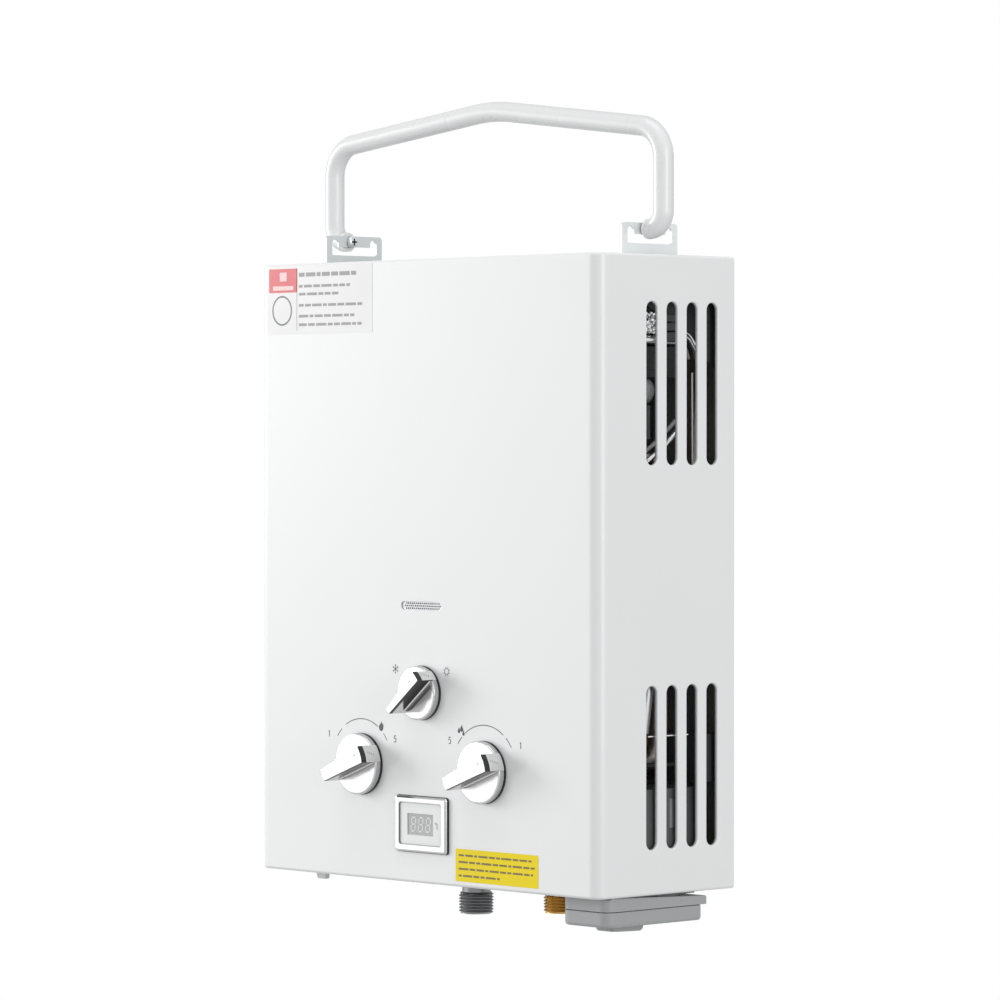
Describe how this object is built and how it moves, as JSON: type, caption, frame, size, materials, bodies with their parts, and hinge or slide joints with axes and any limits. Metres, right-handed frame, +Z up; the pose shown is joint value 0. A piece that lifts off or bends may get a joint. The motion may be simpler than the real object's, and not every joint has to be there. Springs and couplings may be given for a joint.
{
  "type": "portable tankless water heater",
  "caption": "Flat upright gas water heater with a painted casing, fold-down carrying handle, round control knobs, side vents, pipe connections and a battery box below.",
  "frame": {"origin": "centre of the back plate's rear face, where it lies on a wall", "axes": "+X to the right seen from the front, +Y back into the wall, +Z up"},
  "size_m": [0.298, 0.129, 0.4873],
  "materials": {
    "white_paint": "satin",
    "galvanised_steel": "matte",
    "screw_steel": "polished",
    "chrome_plastic": "polished",
    "white_plastic": "gloss",
    "dark_washer": "matte",
    "grey_plastic": "satin",
    "black_plastic": "satin",
    "digit_glass": "gloss",
    "circuit_board": "satin",
    "label_film": "satin",
    "yellow_film": "satin",
    "dark_steel": "satin",
    "brass": "satin",
    "cast_aluminium": "matte",
    "solenoid_shell": "satin",
    "burner_steel": "matte",
    "copper": "satin",
    "ceramic": "gloss",
    "spring_contact": "satin",
    "cell_jacket": "gloss",
    "lead_sleeve": "satin",
    "red_lead_sleeve": "satin"
  },
  "bodies": {
    "casing": {"front_cover": "white_paint", "back_plate": "galvanised_steel", "cover_screws": "screw_steel", "plate_rivets": "galvanised_steel", "bracket_left": "galvanised_steel", "bracket_right": "galvanised_steel", "sight_mesh": "galvanised_steel", "display_bezel": "chrome_plastic", "display_face": "white_plastic", "display_digits": "digit_glass", "display_board": "circuit_board", "corner_label": "label_film", "note_label": "yellow_film", "gas_inlet": "dark_steel", "water_inlet": "brass", "hot_outlet": "brass", "gas_valve": "cast_aluminium", "gas_solenoid": "solenoid_shell", "gas_feed_pipe": "galvanised_steel", "gas_manifold": "galvanised_steel", "gas_nozzles": "brass", "water_valve": "brass", "diaphragm_housing": "brass", "microswitch": "black_plastic", "valve_bracket": "galvanised_steel", "burner_bars": "burner_steel", "burner_frame": "burner_steel", "chamber_jacket": "copper", "chamber_struts": "galvanised_steel", "exchanger_fins": "copper", "exchanger_pipe": "copper", "flue_hood": "burner_steel", "cold_pipe": "copper", "hot_pipe": "copper", "thermal_cutout": "ceramic", "spark_electrodes": "ceramic", "igniter_box": "black_plastic", "battery_box": "grey_plastic", "box_contacts": "spring_contact", "battery_cells": "cell_jacket", "hinge_pin": "screw_steel", "battery_lead": "lead_sleeve", "ignition_lead": "red_lead_sleeve", "display_lead": "lead_sleeve", "cutout_lead": "lead_sleeve"},
    "handle": {"handle_tube": "white_paint", "handle_plugs": "white_plastic", "handle_washers": "dark_washer", "handle_screws": "screw_steel"},
    "gas_control": {"gas_knob": "chrome_plastic", "gas_spindle": "brass"},
    "water_control": {"water_knob": "chrome_plastic", "water_spindle": "brass"},
    "season_control": {"season_knob": "chrome_plastic", "season_spindle": "brass"},
    "door": {"battery_door": "grey_plastic", "door_contact": "spring_contact"},
    "drain": {"drain_plug": "white_plastic"}
  },
  "joints": [
    {"name": "handle_pivot", "type": "hinge", "parent": "casing", "child": "handle", "pos_m": [0, -0.054, 0.2002], "axis": [1, 0, 0], "range_deg": [-96, 96]},
    {"name": "gas_turn", "type": "hinge", "parent": "casing", "child": "gas_control", "pos_m": [-0.0535, -0.112, -0.1165], "axis": [0, -1, 0], "range_deg": [0, 120]},
    {"name": "water_turn", "type": "hinge", "parent": "casing", "child": "water_control", "pos_m": [0.0535, -0.112, -0.1165], "axis": [0, -1, 0], "range_deg": [0, 120]},
    {"name": "season_turn", "type": "hinge", "parent": "casing", "child": "season_control", "pos_m": [0, -0.112, -0.072], "axis": [0, -1, 0], "range_deg": [0, 94]},
    {"name": "door_hinge", "type": "hinge", "parent": "casing", "child": "door", "pos_m": [0.1251, -0.0213, -0.194], "axis": [1, 0, 0], "range_deg": [0, 95]},
    {"name": "drain_turn", "type": "hinge", "parent": "casing", "child": "drain", "pos_m": [-0.123, -0.082, -0.185], "axis": [0, 0, -1], "range_deg": [0, 90]}
  ]
}
